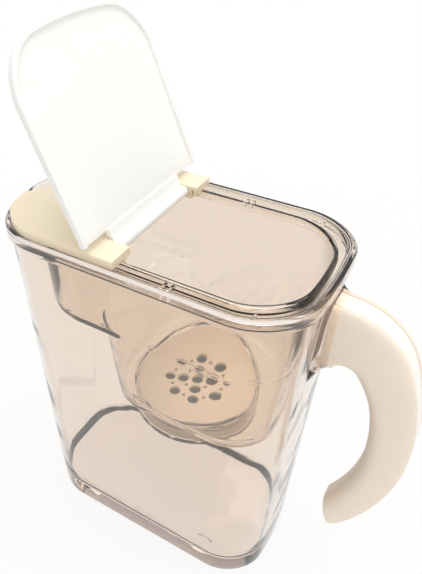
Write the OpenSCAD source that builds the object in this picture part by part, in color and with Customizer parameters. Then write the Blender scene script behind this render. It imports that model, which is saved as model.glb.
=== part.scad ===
// Water filter pitcher with a flip lid, in millimetres.
// The origin is the centre of the jug's flat bottom. The handle is at +X and the spout at -X.

/* [Jug] */
// Length over the rim band, from spout end to handle end
jug_length = 190; // [180:1:210]
// Width over the rim band
jug_width = 111; // [108:1:130]
// Height from the bottom to the top of the rim
jug_height = 240; // [215:1:280]
// Length of the bottom
base_length = 172; // [160:1:180]
// Width of the bottom
base_width = 91; // [88:1:104]
// Corner radius at the rim
rim_corner = 32; // [29:1:34]
// Corner radius at the bottom
base_corner = 27; // [20:1:32]
// How far each end face is bowed outwards
end_bow = 5; // [2:0.5:7]
// Thickness of the clear wall
wall = 2.4; // [1.8:0.1:3]
// Thickness of the clear bottom
base_thickness = 12; // [6:1:20]
// Radius between the inner floor and the walls
floor_radius = 7; // [4:1:10]
// Height of the band round the rim
band_height = 7; // [5:0.5:10]
// How far the band stands out from the wall
band_step = 2; // [1:0.1:2.5]

/* [Spout] */
// How far the pouring lip bulges out of the end face
spout_reach = 6; // [3:0.5:8]
// Half of the lip's width
spout_half_width = 22; // [16:1:23]
// Height over which the bulge grows out of the wall
spout_height = 34; // [20:1:60]
// How far the lip dips below the rim
lip_dip = 2; // [0:0.5:3]

/* [Reservoir] */
// From the rim's outer edge to the mouth, along the sides
mouth_side_inset = 13; // [12:0.5:13.5]
// From the rim's outer edge to the mouth, at the handle end
mouth_handle_inset = 10; // [9:0.5:14]
// From the rim's outer edge to the mouth, at the spout end
mouth_spout_inset = 21; // [18:0.5:26]
// Corner radius of the mouth
mouth_corner = 26; // [20:1:30]
// Depth of the well below the rim
well_depth = 106; // [95:1:118]
// Depth of the shelf at the spout end below the rim
shelf_depth = 50; // [35:1:60]
// How much narrower the well is at its floor, on each side
well_draft = 1.2; // [0.6:0.1:1.4]
// Wall thickness of the reservoir
bowl_wall = 2.2; // [1.6:0.1:2.6]
// Height of the recess in the jug's rim that the flange lies in
recess_depth = 6; // [5:0.5:6.5]
// Width of the rim band's top face
rim_face = 3.2; // [2.8:0.1:3.4]
// Thickness of the flange
flange_thickness = 2; // [1.6:0.1:2.4]
// Thickness of the flange's upstanding lip
flange_lip = 1.6; // [1.2:0.1:2]
// Half of the pouring slot's width in the flange
pour_half_width = 20; // [14:1:21]

/* [Filter] */
// Place of the filter's axis along the jug
filter_x = 20; // [16:1:24]
// Radius of the cartridge
filter_radius = 38; // [34:0.5:38.5]
// Height of the cartridge
filter_height = 14; // [12:1:18]
// How far the cartridge's top lies below the well's floor
filter_sink = 2; // [1:0.5:3]
// Distance between the large holes
hole_pitch = 8.8; // [8.4:0.1:9.2]
// Radius of the large holes
large_hole_radius = 3.5; // [2.5:0.1:3.6]
// Radius of the small holes
small_hole_radius = 1.1; // [0.6:0.1:1.2]
// Turn of the hole pattern, from the jug's long side
hole_turn = 20; // [0:1:45]
// Thickness of the cartridge's perforated cap
cap_thickness = 2.4; // [1.6:0.1:3]
// Wall thickness of the cartridge's cup
cartridge_wall = 1.8; // [1.4:0.1:2.4]
// Thickness of each filter cloth
cloth_thickness = 0.6; // [0.4:0.1:0.8]

/* [Cover] */
// How far the cover's top stands above the rim
cover_rise = 5; // [4.6:0.1:6]
// Thickness of the cover's top sheet
cover_sheet = 2.2; // [1.8:0.1:2.4]
// Thickness of the cover's outer wall
cover_wall = 2; // [1.4:0.1:2.4]
// Radius of the scallop over the spout
scallop_radius = 25; // [22:1:30]
// How far the scallop reaches in from the end of the rim
scallop_reach = 13; // [11:0.5:14]

/* [Lid] */
// How far the lid is open, from closed
open_angle = 114; // [95:1:114]
// Length of the lid from its shoulder to its far end
lid_length = 103; // [100:1:106]
// How far the lid is wider than the rim band, on each side
lid_overhang = 0.5; // [0:0.1:1.5]
// Corner radius at the lid's far end
lid_corner = 26; // [20:1:30]
// Thickness of the lid's sheet
lid_sheet = 2.2; // [1.8:0.1:2.6]
// Height of the border under the lid's edge
lid_border_height = 2.1; // [1:0.1:2.4]
// Width of the border under the lid's edge
lid_border = 2.6; // [2:0.1:4]
// Half of the width of the tongue between the hinge ears
tongue_half_width = 35; // [32:0.5:35.5]
// Place of the hinge axis along the jug
hinge_x = -14; // [-15:0.5:-13]
// Height of the hinge axis above the rim
hinge_rise = 1.2; // [1:0.1:1.3]
// From the hinge axis to the lid's shoulder
shoulder_reach = 10; // [9.8:0.1:10.4]
// Radius of the hinge barrel
barrel_radius = 3.4; // [3.2:0.1:3.4]
// Radius of the hinge pins
pin_radius = 2.4; // [1.8:0.1:2.4]
// Length of each hinge pin
pin_length = 3.5; // [3:0.5:4]

/* [Handle] */
// Width of the handle
handle_width = 23.5; // [23:0.5:26]
// Thickness of the handle at its root, from its inner to its outer side
root_depth = 28; // [27:0.5:29]
// Thickness of the handle at its free end
tip_depth = 18; // [17:0.5:21]
// How much deeper the handle's underside is at the root
root_flare = 13; // [9:0.5:13.5]
// Depth of the handle's root below the rim
handle_drop = 26; // [25.5:0.5:32]
// From the end of the rim to the start of the upper bend
handle_root = 5.3; // [4:0.1:8]
// Radius of the upper bend, along the middle of the handle
upper_bend = 28.4; // [28:0.2:32]
// Angle above the horizontal at which the upper bend ends
bend_angle = 25.4; // [22:0.2:30]
// Radius of the long bend, along the middle of the handle
long_bend = 135; // [125:1:145]
// Angle below the horizontal at which the handle's line ends
tip_angle = 37; // [35:0.5:40]
// Radius of the handle's inner edges
inner_edge = 9; // [6:0.5:10]
// Radius of the handle's outer edges
outer_edge = 4.5; // [3:0.5:5]
// Wall thickness of the handle's shell
shell = 2.5; // [2:0.1:3]
// Width of the strip let into the handle's outer side
strip_width = 12; // [11:0.5:13]
// Thickness of that strip
strip_thickness = 2.8; // [2:0.1:3]

/* [Fits] */
// Gap between parts that only lie in each other
gap = 0.3; // [0.2:0.05:0.4]
// Radial clearance of the hinge pins in their bores
pin_clearance = 0.06; // [0.02:0.01:0.1]
// Gap between faces that rest on each other
seat_gap = 0.15; // [0.05:0.05:0.2]

/* [Hidden] */
$fn = 64;

corner_steps = 8;
end_steps = 14;
side_steps = 8;
rim_z = jug_height;
recess_z = rim_z - recess_depth;
edge = 0.8;
band_x = jug_length / 2;
band_y = jug_width / 2;

flange_inset = rim_face + gap;
flange_z = recess_z + seat_gap;
channel_z = flange_z + flange_thickness;
mouth_y = band_y - mouth_side_inset;
mouth_right = band_x - mouth_handle_inset;
mouth_left = mouth_spout_inset - band_x;
well_z = rim_z - well_depth;
shelf_z = rim_z - shelf_depth;
well_right = mouth_right - 8;
well_left = filter_x - filter_radius - 6;
channel_width = band_y - flange_inset - flange_lip - mouth_y - bowl_wall;
bead = 1.2;
rib_width = 1.2;
rib_places = [22, 26, 69];

cup_clearance = 0.6;
cup_radius = filter_radius + cup_clearance;
filter_top = well_z - filter_sink;
filter_bottom = filter_top - filter_height;
cup_floor_z = filter_bottom - seat_gap;
cap_z = filter_top - cap_thickness;
bed_radius = filter_radius - cartridge_wall;
bed_bottom = filter_bottom + cartridge_wall;
bed_height = (cap_z - bed_bottom - 3 * cloth_thickness) / 2;
seal_section = 1;
seal_radius = cup_radius - 0.15 - seal_section;
seal_z = cap_z - 3;

cover_z = rim_z + seat_gap;
cover_top = rim_z + cover_rise;
cover_end = hinge_x + shoulder_reach - 1.2;
cover_inset = flange_inset;
mouth_clearance = 0.7;
skirt_thickness = 2.2;
skirt_z = rim_z - 2.8;
notch_left = hinge_x - 5.9;
notch_half_width = tongue_half_width + 0.6;
ear_outer = mouth_y - mouth_clearance;
ear_reach = 5.5;
hinge_z = rim_z + hinge_rise;

lid_z = rim_z + gap;
lid_top = lid_z + lid_border_height + lid_sheet;
shoulder_x = hinge_x + shoulder_reach;
lid_end = shoulder_x + lid_length;

root_x = band_x + handle_root;
grip_z = rim_z - handle_drop;
collar_x = root_x - 1.8;
upper_centre = [root_x, 0, grip_z - upper_bend];
long_centre = upper_centre - (long_bend - upper_bend) * [cos(bend_angle), 0, sin(bend_angle)];
flare_length = 66;
hollow_end = tip_angle - 9;
cavity_half = strip_width / 2 - 1.2;
cut_angle = tip_angle - 8;
cut_lean = 22;
tongue_width = 8;
tongue_height = 5;
tongue_z = grip_z - 3.5;
tongue_end = root_x + 16.5;
screw_places = [root_x + 3, root_x + 9];
boss_radius = 3.4;
screw_radius = 1.5;
screw_head_radius = 2.8;
screw_head = 1.8;
screw_z = tongue_z - 6;

function mix(a, b, t) = a + (b - a) * t;
function clamp01(t) = max(0, min(1, t));

// Points between two corners of an outline, without the corners
function between(a, b, steps) = [for (i = [1:steps - 1]) mix(a, b, i / steps)];
function arc(x, y, r, start) = [for (i = [0:corner_steps])
    [x + r * cos(start + 90 * i / corner_steps), y + r * sin(start + 90 * i / corner_steps)]];
function rounded(a, b, r) = concat(
    between([a, r - b], [a, b - r], end_steps), arc(a - r, b - r, r, 0),
    between([a - r, b], [r - a, b], side_steps), arc(r - a, b - r, r, 90),
    between([-a, b - r], [-a, r - b], end_steps), arc(r - a, r - b, r, 180),
    between([r - a, -b], [a - r, -b], side_steps), arc(a - r, r - b, r, 270));

// Outline between two end places, with bowed ends, at a height
function outline(left, right, half_y, r, z, bow = end_bow) =
    let (half_x = (right - left) / 2 - bow)
    [for (p = rounded(half_x, half_y, r))
        [(left + right) / 2 + p[0] * (1 + bow / half_x * (1 - pow(p[1] / half_y, 2))), p[1], z]];

// The rim's own outline, moved inwards
function rim_outline(inset, z) =
    outline(inset - band_x, band_x - inset, band_y - inset, rim_corner - inset, z);

// The jug's wall, moved inwards
function wall_half(z) = mix(base_length, jug_length - 2 * band_step, z / rim_z) / 2;
function wall_outline(inset, z) =
    let (t = z / rim_z, half_x = wall_half(z) - inset,
        half_y = mix(base_width, jug_width - 2 * band_step, t) / 2 - inset)
    outline(-half_x, half_x, half_y, mix(base_corner, rim_corner - band_step, t) - inset, z);

// The pouring lip pushes the spout end of an outline out, more towards the rim
function bulge(y) = abs(y) < spout_half_width ? (1 + cos(180 * y / spout_half_width)) / 2 : 0;
function poured(ring) = [for (p = ring)
    let (t = clamp01((p[2] - rim_z + spout_height) / spout_height),
        top = clamp01(1 + (p[2] - rim_z) / recess_depth),
        amount = p[0] < 0 ? bulge(p[1]) : 0)
    [p[0] - spout_reach * t * t * amount, p[1], p[2] - lip_dip * top * amount]];

// A closed skin through rings of equal length, from the lowest outer one to the last inner one
module loft(rings) {
    n = len(rings[0]);
    last = (len(rings) - 1) * n;
    sides = [for (k = [0:len(rings) - 2], i = [0:n - 1]) let (a = k * n, j = (i + 1) % n)
        each [[a + i, a + n + i, a + n + j], [a + i, a + n + j, a + j]]];
    ends = [[for (i = [0:n - 1]) i], [for (i = [n - 1:-1:0]) last + i]];
    polyhedron(points = [for (ring = rings) each ring], faces = concat(sides, ends));
}

module jug_body() color([0.86, 0.85, 0.88, 0.4]) difference() {
    union() {
        loft([
            wall_outline(2.5, 0), wall_outline(edge, 1), wall_outline(0, 3),
            wall_outline(0, rim_z / 2), poured(wall_outline(0, rim_z - spout_height)),
            poured(wall_outline(0, rim_z - spout_height / 2)),
            poured(wall_outline(0, rim_z - band_height - 1)),
            poured(rim_outline(0, rim_z - band_height)), poured(rim_outline(0, rim_z - edge)),
            poured(rim_outline(edge, rim_z)), poured(rim_outline(rim_face, rim_z)),
            poured(rim_outline(rim_face, recess_z)), poured(wall_outline(wall, recess_z)),
            poured(wall_outline(wall, rim_z - spout_height / 2)),
            poured(wall_outline(wall, rim_z - spout_height)), wall_outline(wall, rim_z / 2),
            wall_outline(wall, base_thickness + floor_radius),
            wall_outline(wall + 0.3 * floor_radius, base_thickness + 0.3 * floor_radius),
            wall_outline(wall + floor_radius, base_thickness)]);
        collar();
        translate([collar_x - 4, -tongue_width / 2, tongue_z])
            cube([tongue_end - collar_x + 4, tongue_width, tongue_height]);
    }
    for (x = screw_places) translate([x, 0, tongue_z - 1])
        cylinder(r = screw_radius + 0.2, h = tongue_height + 2);
}

// Flared root on the end wall, which the handle's shell butts against
module collar() {
    top = rim_z - band_height - 1;
    bottom = grip_z - low_at(90) - 12;
    hull() {
        for (z = [bottom, top], y = [-16.5, 16.4]) translate([wall_half(z) - 1.8, y, z]) cube(0.1);
        for (z = [grip_z - low_at(90) - 1.5, grip_z + top_at(90) + 1],
            y = [-handle_width / 2 - 1.5, handle_width / 2 + 1.4])
            translate([collar_x - 0.1, y, z]) cube(0.1);
    }
}

// How far along the handle's middle line a place with this angle lies
function travelled(a) = PI / 180 * (a > bend_angle ? upper_bend * (90 - a)
    : upper_bend * (90 - bend_angle) + long_bend * (bend_angle - a));

// From the middle line to the handle's outer side and to its inner side, at an angle
function top_at(a) = mix(root_depth, tip_depth, travelled(a) / travelled(-tip_angle)) / 2;
function low_at(a) = top_at(a) + root_flare * pow(max(0, 1 - travelled(a) / flare_length), 2);

// The handle's outer contour at an angle, [inwards to outwards, across]
function quarter(x, y, r, start, steps) = [for (i = [0:steps])
    [x + r * cos(start + 90 * i / steps), y + r * sin(start + 90 * i / steps)]];
function half_contour(a) = let (t = top_at(a), u = low_at(a), w = handle_width / 2)
    concat(quarter(t - outer_edge, w - outer_edge, outer_edge, 0, 5),
        quarter(inner_edge - u, w - inner_edge, inner_edge, 90, 8));
function mirrored(points) = [for (i = [len(points) - 1:-1:0]) [points[i][0], -points[i][1]]];
function contour(a) = concat(half_contour(a), mirrored(half_contour(a)));
function block(inner, outer, half) = [[inner, -half], [outer, -half], [outer, half], [inner, half]];
function cavity(a) = block(shell - low_at(a), strip_floor(a) + 1, cavity_half);
function slot(a) = block(strip_floor(a), top_at(a) + 3, strip_width / 2);
function strip_floor(a) = top_at(a) - strip_thickness - 0.1;

// The handle's middle line, as places with the angle of the outward direction
function bend(centre, radius, angles) = [for (a = angles) [centre + radius * [cos(a), 0, sin(a)], a]];
function handle_line(start, end_angle, upper_steps, long_steps) = concat([[[start, 0, grip_z], 90]],
    bend(upper_centre, upper_bend, [for (i = [0:upper_steps]) mix(90, bend_angle, i / upper_steps)]),
    bend(long_centre, long_bend,
        [for (i = [1:long_steps]) mix(bend_angle, -end_angle, i / long_steps)]));

// Carries a cross-section for each place along a line, with a share of its size at the last ones
module along(line, sections, shares = []) loft([for (i = [0:len(line) - 1])
    let (place = line[i], late = i - len(line) + len(shares), share = late < 0 ? 1 : shares[late])
    [for (p = sections[i])
        place[0] + share * (p[0] * [cos(place[1]), 0, sin(place[1])] - [0, p[1], 0])]]);

// Soft white shell that the fingers close round, open to the outside for the strip
module handle_grip() color([0.95, 0.92, 0.87]) difference() {
    line = concat(handle_line(collar_x, tip_angle - 5, 11, 14), bend(long_centre, long_bend,
        [3.5 - tip_angle, 1.2 - tip_angle, -tip_angle]));
    union() {
        difference() {
            along(line, [for (p = line) contour(p[1])], [0.97, 0.85, 0.55]);
            hollow_room();
            tip_cut();
        }
        screw_bosses();
    }
    for (x = screw_places) translate([x, 0, screw_z - 0.5])
        cylinder(r = screw_radius + 0.05, h = 10);
}

// The room for the tongue and the screws, and the slot over it
module hollow_room() {
    deep = handle_line(collar_x - 1.5, hollow_end - 3, 8, 13);
    wide = handle_line(collar_x - 1, hollow_end, 8, 13);
    along(deep, [for (p = deep) cavity(p[1])]);
    along(wide, [for (p = wide) slot(p[1])]);
}

// The free end is cut off steeply, facing the jug
module tip_cut() {
    radius = long_bend - low_at(-cut_angle);
    reach = 2 * root_depth;
    translate(long_centre + [radius * cos(cut_angle), 0, -radius * sin(cut_angle)])
        rotate([0, -cut_lean, 0]) translate([-reach, -handle_width, -reach])
            cube([reach, 2 * handle_width, reach]);
}

// The bosses stand in the shell, just above its inner skin
boss_z = upper_centre[2] + (upper_bend - low_at(50)) * sin(50) + 0.3;
module screw_bosses() for (x = screw_places) translate([x, 0, boss_z])
    cylinder(r = boss_radius, h = tongue_z - boss_z);

// Glossy strip that closes the handle and hides the screws
module handle_cover() color([0.98, 0.97, 0.95]) {
    line = handle_line(collar_x, hollow_end - 0.2, 8, 13);
    along(line, [for (p = line) strip_section(p[1])]);
}

function half_strip(low, top, w) = [[low, w], [top - 1, w], [top - 0.3, w - 0.7], [top - 0.1, w - 2]];
function strip_section(a) = let (half = half_strip(strip_floor(a) + 0.05, top_at(a), strip_width / 2 - 0.15))
    concat(mirrored(half), half);

module handle_screws() color([0.7, 0.7, 0.72]) for (x = screw_places) {
    translate([x, 0, screw_z]) cylinder(r = screw_radius, h = tongue_z + tongue_height - screw_z + 0.5);
    translate([x, 0, tongue_z + tongue_height]) difference() {
        cylinder(r = screw_head_radius, h = screw_head);
        for (turn = [0, 90]) rotate(turn) translate([-1.6, -0.3, screw_head - 0.8]) cube([3.2, 0.6, 1]);
    }
}

// The reservoir's mouth, moved inwards
function mouth_outline(inset, z) = outline(mouth_left + inset, mouth_right - inset, mouth_y - inset,
    mouth_corner - inset, z);

// Rings of the bowl, moved outwards by the wall's thickness for its outer side
function bowl_ring(left, right, half_y, r, z, out) =
    outline(left - out, right + out, half_y + out, r + out, z - (out > 0 ? bowl_wall : 0), end_bow);
function well_rings(out) = [
    bowl_ring(well_left + 4, well_right - 4, mouth_y - well_draft - 4, mouth_corner - 8, well_z, out),
    bowl_ring(well_left + 1, well_right - 1, mouth_y - well_draft - 1, mouth_corner - 5, well_z + 1, out),
    bowl_ring(well_left, well_right, mouth_y - well_draft, mouth_corner - 4, well_z + 4, out),
    bowl_ring(well_left - 8, well_right + 4, mouth_y - 0.5, mouth_corner - 2, shelf_z - 4, out),
    bowl_ring(mouth_left + 4, well_right + 4.4, mouth_y - 0.4, mouth_corner - 1, shelf_z, out)];

// Clear insert that holds the unfiltered water and hangs in the jug's rim
module reservoir() color([0.9, 0.9, 0.92, 0.4]) difference() {
    union() {
        difference() {
            loft(concat(well_rings(bowl_wall), [
                bowl_ring(mouth_left, mouth_right, mouth_y, mouth_corner, flange_z + bowl_wall, bowl_wall),
                rim_outline(flange_inset, flange_z), rim_outline(flange_inset, rim_z),
                rim_outline(flange_inset + flange_lip, rim_z),
                rim_outline(flange_inset + flange_lip, channel_z),
                mouth_outline(-bowl_wall, channel_z), mouth_outline(-bowl_wall, rim_z - bead / 2),
                mouth_outline(-bead, rim_z), mouth_outline(-0.4, rim_z),
                mouth_outline(0, rim_z - bead)],
                [for (k = [4:-1:0]) well_rings(0)[k]]));
            translate([filter_x, 0, well_z - bowl_wall - 1]) cylinder(r = cup_radius, h = bowl_wall + 8);
            pour_slot();
        }
        filter_socket();
        channel_ribs();
    }
}

// The water passes between the bowl and the jug's end wall, and out over the lip
module pour_slot() translate([-band_x - 5, -pour_half_width, flange_z - 1])
    cube([band_x + 5 + mouth_left - bowl_wall - 2, 2 * pour_half_width, recess_depth + 2]);

// Round seat in the well's floor, with drain holes, that the cartridge drops into
module filter_socket() translate([filter_x, 0, 0]) difference() {
    translate([0, 0, cup_floor_z - bowl_wall])
        cylinder(r = cup_radius + bowl_wall, h = well_z + bead - cup_floor_z + bowl_wall);
    translate([0, 0, cup_floor_z]) cylinder(r = cup_radius, h = filter_height + 20);
    for (k = [0:11]) rotate(30 * k) translate([filter_radius * 0.7, 0, cup_floor_z - bowl_wall - 1])
        cylinder(r = 3, h = bowl_wall + 2);
    translate([0, 0, cup_floor_z - bowl_wall - 1]) cylinder(r = 6, h = bowl_wall + 2);
}

// Low ribs across the channel, kept inside the flange's lip where it curves
module channel_ribs() intersection() {
    loft([rim_outline(flange_inset + flange_lip / 2, channel_z - 1),
        rim_outline(flange_inset + flange_lip / 2, rim_z)]);
    for (x = rib_places, side = [-1, 1])
        translate([x, side * (mouth_y + bowl_wall + band_y - flange_inset - flange_lip) / 2, channel_z])
            translate([-rib_width / 2, -channel_width / 2 - 0.3, -0.2])
                cube([rib_width, channel_width + 0.6, 2.6]);
}

// Places of the cap's holes: a square star of large ones with small ones between
function star(radius, angles) = [for (a = angles) radius * [cos(a + hole_turn), sin(a + hole_turn)]];
large_holes = concat([[0, 0]], star(hole_pitch, [0:90:270]), star(2 * hole_pitch, [0:45:315]));
small_holes = concat(star(0.93 * hole_pitch, [45:90:315]), star(1.84 * hole_pitch, [22.5:45:337.5]));

module filter_cap() color([0.96, 0.95, 0.92]) translate([filter_x, 0, cap_z]) difference() {
    cylinder(r = filter_radius, h = cap_thickness);
    for (p = large_holes) translate([p[0], p[1], -1]) cylinder(r = large_hole_radius, h = cap_thickness + 2);
    for (p = small_holes) translate([p[0], p[1], -1]) cylinder(r = small_hole_radius, h = cap_thickness + 2);
}

module filter_cup() color([0.92, 0.93, 0.92, 0.7]) translate([filter_x, 0, 0]) difference() {
    translate([0, 0, filter_bottom]) cylinder(r = filter_radius, h = cap_z - filter_bottom);
    translate([0, 0, bed_bottom]) cylinder(r = bed_radius, h = filter_height);
    for (p = large_holes) translate([p[0], p[1], filter_bottom - 1])
        cylinder(r = large_hole_radius / 2, h = cartridge_wall + 2);
    translate([0, 0, seal_z]) rotate_extrude() translate([seal_radius, 0]) circle(seal_section + 0.02, $fn = 32);
}

module filter_seal() color([0.3, 0.3, 0.32]) translate([filter_x, 0, seal_z])
    rotate_extrude() translate([seal_radius, 0]) circle(seal_section, $fn = 32);

module bed_layer(z, h) translate([filter_x, 0, z]) cylinder(r = bed_radius - 0.05, h = h);

module lower_cloth() color([0.97, 0.97, 0.97]) bed_layer(bed_bottom, cloth_thickness);
module resin_bed() color([0.8, 0.62, 0.35]) bed_layer(bed_bottom + cloth_thickness, bed_height);
module middle_cloth() color([0.97, 0.97, 0.97])
    bed_layer(bed_bottom + cloth_thickness + bed_height, cloth_thickness);
module carbon_bed() color([0.12, 0.12, 0.12])
    bed_layer(bed_bottom + 2 * cloth_thickness + bed_height, bed_height);
module upper_cloth() color([0.97, 0.97, 0.97]) bed_layer(cap_z - cloth_thickness, cloth_thickness);

// Wall under the cover that drops into the reservoir's mouth and holds the cover in place
module skirt() difference() {
    loft([mouth_outline(mouth_clearance, skirt_z),
        mouth_outline(mouth_clearance, cover_top - cover_sheet + 0.2)]);
    loft([mouth_outline(mouth_clearance + skirt_thickness, skirt_z - 1),
        mouth_outline(mouth_clearance + skirt_thickness, cover_top)]);
}

// Cover over the spout half, with the ears that carry the lid
module front_cover() color([0.96, 0.93, 0.88]) difference() {
    union() {
        difference() {
            loft([rim_outline(cover_inset, cover_z), rim_outline(cover_inset, cover_top - edge),
                rim_outline(cover_inset + edge, cover_top)]);
            difference() {
                loft([rim_outline(cover_inset + cover_wall, cover_z - 1),
                    rim_outline(cover_inset + cover_wall, cover_top - cover_sheet)]);
                translate([cover_end - cover_wall, -band_y, cover_z - 2])
                    cube([band_x, 2 * band_y, 2 * cover_rise]);
            }
        }
        skirt();
        for (side = [0, 1]) mirror([0, side, 0])
            translate([hinge_x - ear_reach, notch_half_width - 1, skirt_z])
                cube([2 * ear_reach, ear_outer - notch_half_width + 1, cover_top - 1 - skirt_z]);
    }
    translate([cover_end, -band_y - 1, rim_z - 20]) cube([2 * band_x, 2 * band_y + 2, 40]);
    translate([notch_left, -notch_half_width, rim_z - 20]) cube([30, 2 * notch_half_width, 40]);
    translate([scallop_reach - scallop_radius - band_x, 0, rim_z - 20])
        cylinder(r = scallop_radius, h = 40, $fn = 96);
    translate([hinge_x, -band_y, hinge_z]) rotate([-90, 0, 0])
        cylinder(r = pin_radius + pin_clearance, h = band_y + ear_outer + 0.5);
}

// The lid, drawn closed and then turned open about its hinge
module flip_lid() color([0.98, 0.98, 0.98])
    translate([hinge_x, 0, hinge_z]) rotate([0, -open_angle, 0]) translate([-hinge_x, 0, -hinge_z])
        closed_lid();

function lid_outline(inset, z) = outline(inset - lid_end, lid_end - inset, band_y + lid_overhang - inset,
    lid_corner - inset, z, end_bow + 1);

module closed_lid() {
    difference() {
        loft([lid_outline(0.3, lid_z), lid_outline(0, lid_z + edge), lid_outline(0, lid_top - 0.6),
            lid_outline(0.6, lid_top)]);
        loft([lid_outline(lid_border, lid_z - 1), lid_outline(lid_border, lid_z + lid_border_height)]);
        translate([-2 * band_x, -band_y - 3, rim_z - 20])
            cube([2 * band_x + shoulder_x, 2 * band_y + 6, 40]);
    }
    translate([hinge_x, -tongue_half_width, hinge_z + 0.2])
        cube([shoulder_reach + 0.1, 2 * tongue_half_width, lid_top - hinge_z - 0.2]);
    translate([hinge_x, -tongue_half_width, hinge_z]) rotate([-90, 0, 0])
        cylinder(r = barrel_radius, h = 2 * tongue_half_width);
    translate([hinge_x, -tongue_half_width - pin_length, hinge_z]) rotate([-90, 0, 0])
        cylinder(r = pin_radius, h = 2 * (tongue_half_width + pin_length));
}

jug_body();
handle_grip();
handle_cover();
handle_screws();
reservoir();
filter_cap();
filter_cup();
filter_seal();
upper_cloth();
carbon_bed();
middle_cloth();
resin_bed();
lower_cloth();
front_cover();
flip_lid();
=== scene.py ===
import math

import bmesh
import bpy
import numpy as np
from mathutils import Matrix, Vector


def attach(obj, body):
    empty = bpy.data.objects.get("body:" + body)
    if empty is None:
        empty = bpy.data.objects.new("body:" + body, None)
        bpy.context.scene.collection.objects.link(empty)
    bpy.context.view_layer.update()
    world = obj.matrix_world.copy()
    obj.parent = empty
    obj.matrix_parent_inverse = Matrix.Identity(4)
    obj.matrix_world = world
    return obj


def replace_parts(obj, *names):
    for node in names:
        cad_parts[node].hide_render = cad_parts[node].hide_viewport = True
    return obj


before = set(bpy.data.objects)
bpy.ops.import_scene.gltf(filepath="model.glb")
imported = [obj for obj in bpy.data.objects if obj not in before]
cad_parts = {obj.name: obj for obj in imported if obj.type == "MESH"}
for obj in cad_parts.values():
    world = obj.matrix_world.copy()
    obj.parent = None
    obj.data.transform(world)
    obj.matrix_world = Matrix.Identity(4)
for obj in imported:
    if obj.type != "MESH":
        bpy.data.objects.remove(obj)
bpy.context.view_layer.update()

# Jug: the clear outer vessel, injection moulded in SAN in one shot with its thick flat base,
# the stepped band round the rim, the pouring lip, and the flared root and tongue that carry
# the handle. Metres, with the handle at +X and the spout at -X.
jug_length, jug_width, jug_height = 0.190, 0.111, 0.240
base_length, base_width, base_thickness = 0.172, 0.091, 0.012
rim_corner, base_corner, end_bow = 0.032, 0.027, 0.005
jug_wall, floor_radius = 0.0024, 0.007
band_step, rim_face, recess_depth = 0.002, 0.0032, 0.006
spout_reach, spout_half_width, spout_height, lip_dip = 0.006, 0.022, 0.034, 0.002
band_x, band_y = jug_length / 2, jug_width / 2
recess_z = jug_height - recess_depth


def outline(left, right, half_y, corner, z, bow=end_bow):
    """A ring round a rounded rectangle whose ends bow outwards, anticlockwise from above."""
    a = (right - left) / 2 - bow
    turn = np.linspace(0, math.pi / 2, 19)
    arc = np.stack([np.cos(turn), np.sin(turn)], 1) * corner + (a - corner, half_y - corner)
    end_y = np.linspace(corner - half_y, half_y - corner, 25)[1:-1]
    side_x = np.linspace(a - corner, corner - a, 21)[1:-1]
    half = np.concatenate([
        np.stack([np.full_like(end_y, a), end_y], 1), arc,
        np.stack([side_x, np.full_like(side_x, half_y)], 1), arc[::-1] * (-1, 1)])
    ring = np.concatenate([half, -half])
    swell = 1 + bow / a * (1 - (ring[:, 1] / half_y) ** 2)
    x = (left + right) / 2 + ring[:, 0] * swell
    return np.stack([x, ring[:, 1], np.full_like(x, z)], 1)


def rim_outline(inset, z):
    """The rim band's outline, moved inwards."""
    return outline(inset - band_x, band_x - inset, band_y - inset, rim_corner - inset, z)


def wall_half(z):
    """Half of the jug's length at a height, without the band."""
    return np.interp(z, [0, jug_height], [base_length / 2, band_x - band_step])


def wall_outline(inset, z):
    """The tapered wall's outline, moved inwards."""
    half_x = wall_half(z) - inset
    half_y = np.interp(z, [0, jug_height], [base_width / 2, band_y - band_step]) - inset
    corner = np.interp(z, [0, jug_height], [base_corner, rim_corner - band_step]) - inset
    return outline(-half_x, half_x, half_y, corner, z)


def poured(ring):
    """Pushes the spout end of a ring out, and dips it, into the pouring lip."""
    x, y, z = ring.T
    rise = np.clip((z - jug_height + spout_height) / spout_height, 0, 1)
    top = np.clip(1 + (z - jug_height) / recess_depth, 0, 1)
    amount = np.where(np.abs(y) < spout_half_width,
                      (1 + np.cos(np.pi * y / spout_half_width)) / 2, 0) * (x < 0)
    return np.stack([x - spout_reach * rise ** 2 * amount, y, z - lip_dip * top * amount], 1)


def rounding(inset, z, radius, start, end, steps=4):
    """Places (inset, height) round an edge, from one angle to another, about its centre."""
    turn = np.radians(np.linspace(start, end, steps + 1))
    return list(zip(inset - radius * np.cos(turn), z + radius * np.sin(turn)))


def shade(piece, angle=32):
    """Smooth shading with the sharp edges kept."""
    piece.data.polygons.foreach_set("use_smooth", [True] * len(piece.data.polygons))
    piece.data.set_sharp_from_angle(angle=math.radians(angle))
    return piece


def new_piece(name, points, faces):
    """A mesh object from points and faces."""
    mesh = bpy.data.meshes.new(name)
    mesh.from_pydata([tuple(p) for p in points], [], [tuple(f) for f in faces])
    mesh.update()
    piece = bpy.data.objects.new(name, mesh)
    bpy.context.scene.collection.objects.link(piece)
    return piece


def loft(name, rings):
    """A closed skin through rings of equal length, from the lowest outer to the last inner one."""
    n, count = len(rings[0]), len(rings)
    faces = [(k * n + i, k * n + (i + 1) % n, (k + 1) * n + (i + 1) % n, (k + 1) * n + i)
             for k in range(count - 1) for i in range(n)]
    faces += [range(n - 1, -1, -1), range((count - 1) * n, count * n)]
    return new_piece(name, np.concatenate(rings), faces)


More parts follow.
